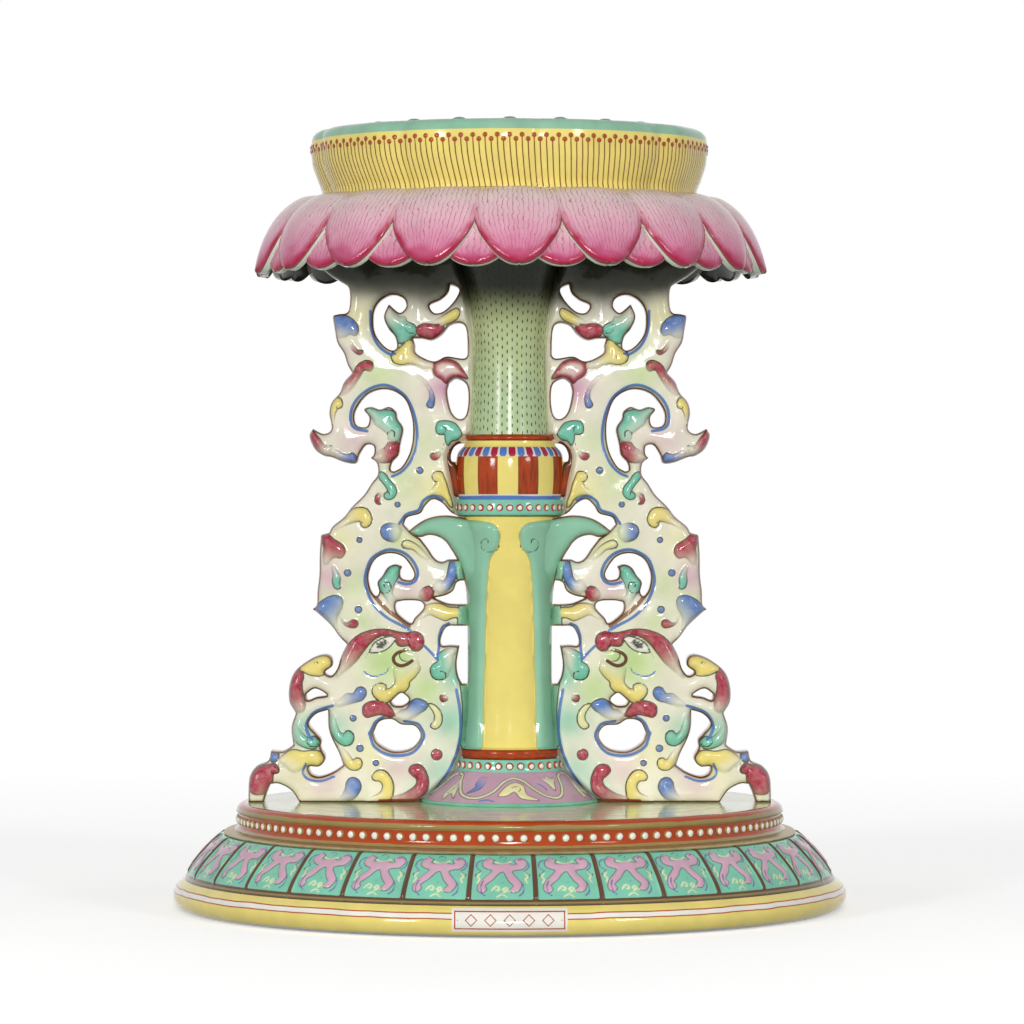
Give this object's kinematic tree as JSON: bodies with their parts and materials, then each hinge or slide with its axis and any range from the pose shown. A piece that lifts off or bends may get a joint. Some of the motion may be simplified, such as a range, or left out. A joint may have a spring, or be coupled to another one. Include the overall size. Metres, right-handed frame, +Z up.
{
  "type": "altar emblem stand",
  "caption": "Porcelain altar stand: lotus pod on a skirt of petals above a slim column, with openwork dragon slabs at both sides on a stepped round base",
  "frame": {"origin": "centre of the round foot, on the surface that the stand rests on", "axes": "+Z up along the column, X through both dragon slabs, -Y towards the front"},
  "size_m": [0.2172, 0.2172, 0.2511],
  "materials": {
    "lemon_enamel": "glazed porcelain with lemon yellow overglaze enamel, glossy",
    "mint_enamel": "glazed porcelain with mint green overglaze enamel, glossy",
    "gilding": "thin fired gilding, slightly worn",
    "iron_red": "iron red enamel, glossy",
    "ivory_glaze": "pale glaze with painted enamels, glossy",
    "teal_enamel": "teal enamel, glossy",
    "lavender_enamel": "lavender enamel, glossy",
    "leaf_enamel": "leaf green enamel, glossy",
    "stem_enamel": "pale green enamel with dark dashes, glossy",
    "pink_enamel": "pink enamel shading to crimson at the petal edges, glossy"
  },
  "bodies": {
    "root": {"foot_rim": "lemon_enamel", "lappet_band": "mint_enamel", "gilt_fillet": "gilding", "bead_band": "iron_red", "platform": "ivory_glaze", "plinth_foot_ring": "teal_enamel", "plinth": "lavender_enamel", "plinth_bead_ring": "teal_enamel", "column_base_ring": "iron_red", "column": "lemon_enamel", "pilaster_left": "leaf_enamel", "pilaster_right": "leaf_enamel", "drum_bead_ring": "teal_enamel", "drum": "lemon_enamel", "drum_collar": "iron_red", "drum_lug_left": "iron_red", "drum_lug_right": "iron_red", "stem": "stem_enamel", "calyx": "teal_enamel", "lower_petals": "pink_enamel", "upper_petals": "pink_enamel", "pod_wall": "lemon_enamel", "pod_rim": "leaf_enamel", "seed_plate": "leaf_enamel", "dragon_left": "ivory_glaze", "dragon_right": "ivory_glaze"}
  },
  "joints": []
}
